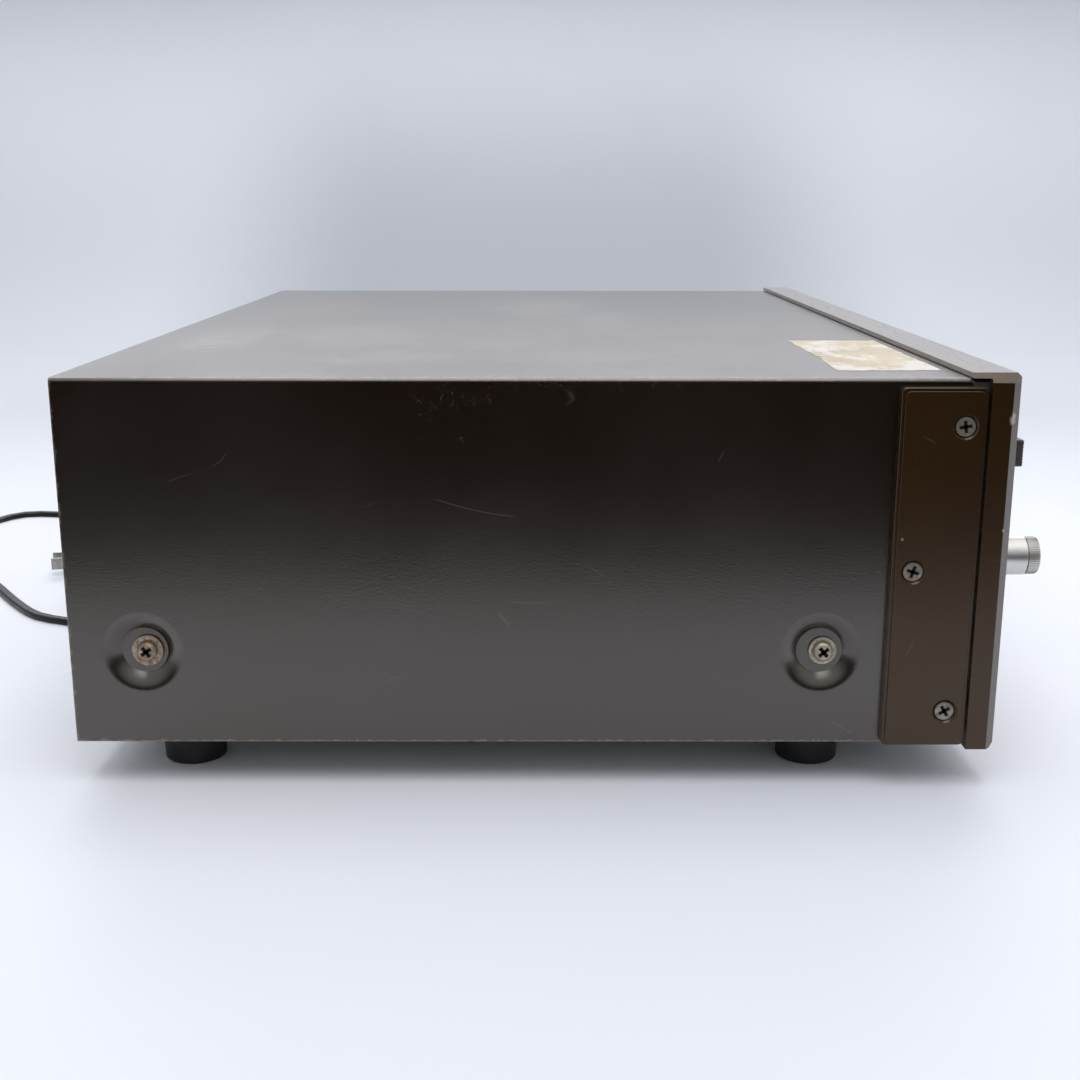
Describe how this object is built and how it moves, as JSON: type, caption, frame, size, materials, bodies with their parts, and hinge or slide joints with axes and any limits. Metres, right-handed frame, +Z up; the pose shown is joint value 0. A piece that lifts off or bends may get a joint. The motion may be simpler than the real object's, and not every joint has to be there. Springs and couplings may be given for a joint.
{
  "type": "cassette deck",
  "caption": "Front-loading stereo cassette deck with folded steel cover, bronze fascia, tilting cassette door, transport keys, level meters, rear line sockets and mains cord",
  "frame": {"origin": "on the surface it stands on, under the middle of the deck's box without the cord, its strain relief and its plug", "axes": "+X is the deck's right as its user faces it, +Y points to the rear panel, +Z is up; the front panel faces -Y"},
  "size_m": [0.43, 0.5029, 0.1398],
  "materials": {
    "cover_paint": "dark grey-brown fine-textured paint, scratched and scuffed",
    "bronze_panel": "bronze-brown anodised, satin, with paler chamfers",
    "brown_moulding": "satin dark brown moulding",
    "smoked_pane": "smoked clear plastic",
    "clear_pane": "lightly tinted clear plastic",
    "zinc_steel": "dull zinc plate",
    "screw_steel": "dull plated steel, a little rust",
    "brass_pulley": "turned brass",
    "foot_plastic": "matt black moulding",
    "black_moulding": "matt black moulding",
    "knob_aluminium": "turned and brushed aluminium",
    "counter_plastic": "off-white moulding",
    "needle_plastic": "red lacquer",
    "roller_rubber": "ground black rubber",
    "board_laminate": "green lacquered laminate",
    "transformer_core": "varnished laminations",
    "cord_vinyl": "satin black vinyl"
  },
  "bodies": {
    "chassis": {"bottom_plate": "zinc_steel", "top_cover": "cover_paint", "front_panel": "bronze_panel", "front_frame": "zinc_steel", "left_side_cap": "bronze_panel", "right_side_cap": "bronze_panel", "rear_panel": "cover_paint", "foot_front_left": "foot_plastic", "foot_front_right": "foot_plastic", "foot_rear_left": "foot_plastic", "foot_rear_right": "foot_plastic", "cover_screw_front_left": "screw_steel", "cover_screw_front_right": "screw_steel", "cover_screw_rear_left": "screw_steel", "cover_screw_rear_right": "screw_steel", "cap_screw_left_upper": "screw_steel", "cap_screw_left_middle": "screw_steel", "cap_screw_left_lower": "screw_steel", "cap_screw_right_upper": "screw_steel", "cap_screw_right_middle": "screw_steel", "cap_screw_right_lower": "screw_steel", "jack_block": "black_moulding", "front_jacks": "black_moulding", "display_window": "clear_pane", "meter_case": "black_moulding", "transport_frame": "zinc_steel", "motor": "screw_steel", "drive_belt": "roller_rubber", "main_board": "board_laminate", "power_transformer": "transformer_core", "strain_relief": "cord_vinyl", "cord_run": "cord_vinyl", "cord_coil": "cord_vinyl", "cord_tail": "cord_vinyl", "mains_plug": "cord_vinyl"},
    "door": {"cassette_door": "brown_moulding", "door_window": "smoked_pane", "cassette_holder": "zinc_steel"},
    "supply_reel": {"supply_hub": "black_moulding"},
    "takeup_reel": {"takeup_hub": "black_moulding"},
    "capstan": {"capstan_flywheel": "screw_steel"},
    "pulley": {"motor_pulley": "brass_pulley"},
    "heads": {"head_block": "zinc_steel"},
    "roller": {"pinch_roller": "roller_rubber"},
    "record": {"record_key": "brown_moulding"},
    "rewind": {"rewind_key": "brown_moulding"},
    "play": {"play_key": "brown_moulding"},
    "forward": {"forward_key": "brown_moulding"},
    "stop": {"stop_key": "brown_moulding"},
    "pause": {"pause_key": "brown_moulding"},
    "power": {"power_button": "brown_moulding"},
    "reset": {"counter_reset": "black_moulding"},
    "output_level": {"output_knob": "knob_aluminium"},
    "record_level_left": {"record_knob_left": "knob_aluminium"},
    "record_level_right": {"record_knob_right": "knob_aluminium"},
    "tape_type": {"tape_switch": "knob_aluminium"},
    "meter_left": {"needle_left": "needle_plastic"},
    "meter_right": {"needle_right": "needle_plastic"},
    "counter": {"counter_wheels": "counter_plastic"}
  },
  "joints": [
    {"name": "door_tilt", "type": "hinge", "parent": "chassis", "child": "door", "pos_m": [-0.103, -0.14235, 0.037], "axis": [1, 0, 0], "range_deg": [0, 28]},
    {"name": "supply_spin", "type": "hinge", "parent": "chassis", "child": "supply_reel", "pos_m": [-0.12425, -0.11765, 0.0805], "axis": [0, -1, 0], "continuous": true},
    {"name": "takeup_spin", "type": "hinge", "parent": "chassis", "child": "takeup_reel", "pos_m": [-0.08175, -0.11765, 0.0805], "axis": [0, -1, 0], "continuous": true},
    {"name": "capstan_spin", "type": "hinge", "parent": "chassis", "child": "capstan", "pos_m": [-0.0807, -0.09555, 0.054], "axis": [0, -1, 0], "continuous": true},
    {"name": "pulley_spin", "type": "hinge", "parent": "chassis", "child": "pulley", "pos_m": [-0.142, -0.09555, 0.098], "axis": [0, -1, 0], "continuous": true},
    {"name": "head_lift", "type": "slide", "parent": "chassis", "child": "heads", "axis": [0, 0, 1], "range_m": [0, 0.0065]},
    {"name": "roller_spin", "type": "hinge", "parent": "heads", "child": "roller", "pos_m": [-0.0807, -0.13165, 0.0405], "axis": [0, -1, 0], "continuous": true},
    {"name": "record_press", "type": "slide", "parent": "chassis", "child": "record", "axis": [0, 1, 0], "range_m": [0, 0.003], "stiffness_N_per_m": 400, "springref_m": -0.001},
    {"name": "rewind_press", "type": "slide", "parent": "chassis", "child": "rewind", "axis": [0, 1, 0], "range_m": [0, 0.003], "stiffness_N_per_m": 400, "springref_m": -0.001},
    {"name": "play_press", "type": "slide", "parent": "chassis", "child": "play", "axis": [0, 1, 0], "range_m": [0, 0.003], "stiffness_N_per_m": 400, "springref_m": -0.001},
    {"name": "forward_press", "type": "slide", "parent": "chassis", "child": "forward", "axis": [0, 1, 0], "range_m": [0, 0.003], "stiffness_N_per_m": 400, "springref_m": -0.001},
    {"name": "stop_press", "type": "slide", "parent": "chassis", "child": "stop", "axis": [0, 1, 0], "range_m": [0, 0.003], "stiffness_N_per_m": 400, "springref_m": -0.001},
    {"name": "pause_press", "type": "slide", "parent": "chassis", "child": "pause", "axis": [0, 1, 0], "range_m": [0, 0.003], "stiffness_N_per_m": 400, "springref_m": -0.001},
    {"name": "power_press", "type": "slide", "parent": "chassis", "child": "power", "axis": [0, 1, 0], "range_m": [0, 0.0035], "stiffness_N_per_m": 400, "springref_m": -0.001},
    {"name": "reset_press", "type": "slide", "parent": "chassis", "child": "reset", "axis": [0, 1, 0], "range_m": [0, 0.0022], "stiffness_N_per_m": 300, "springref_m": -0.001},
    {"name": "output_turn", "type": "hinge", "parent": "chassis", "child": "output_level", "pos_m": [-0.195, -0.15015, 0.0758], "axis": [0, -1, 0], "range_deg": [-150, 150]},
    {"name": "record_left_turn", "type": "hinge", "parent": "chassis", "child": "record_level_left", "pos_m": [0.166, -0.15015, 0.098], "axis": [0, -1, 0], "range_deg": [-150, 150]},
    {"name": "record_right_turn", "type": "hinge", "parent": "chassis", "child": "record_level_right", "pos_m": [0.166, -0.15015, 0.098], "axis": [0, -1, 0], "range_deg": [-150, 150]},
    {"name": "tape_flick", "type": "hinge", "parent": "chassis", "child": "tape_type", "pos_m": [0.166, -0.14205, 0.057], "axis": [1, 0, 0], "range_deg": [-10, 10]},
    {"name": "meter_left_swing", "type": "hinge", "parent": "chassis", "child": "meter_left", "pos_m": [0.04103, -0.13545, 0.0925], "axis": [0, 1, 0], "range_deg": [0, 90], "stiffness_Nm_per_rad": 0.0002, "springref_deg": -5.73},
    {"name": "meter_right_swing", "type": "hinge", "parent": "chassis", "child": "meter_right", "pos_m": [0.09003, -0.13545, 0.0925], "axis": [0, 1, 0], "range_deg": [0, 90], "stiffness_Nm_per_rad": 0.0002, "springref_deg": -5.73},
    {"name": "counter_spin", "type": "hinge", "parent": "chassis", "child": "counter", "pos_m": [-0.004, -0.13425, 0.104], "axis": [1, 0, 0], "continuous": true}
  ],
  "couplings": [
    {"joint": "pulley_spin", "follows": "capstan_spin", "ratio": 5.28},
    {"joint": "counter_spin", "follows": "takeup_spin", "ratio": 0.1},
    {"joint": "head_lift", "follows": "play_press", "ratio": 2.16}
  ]
}
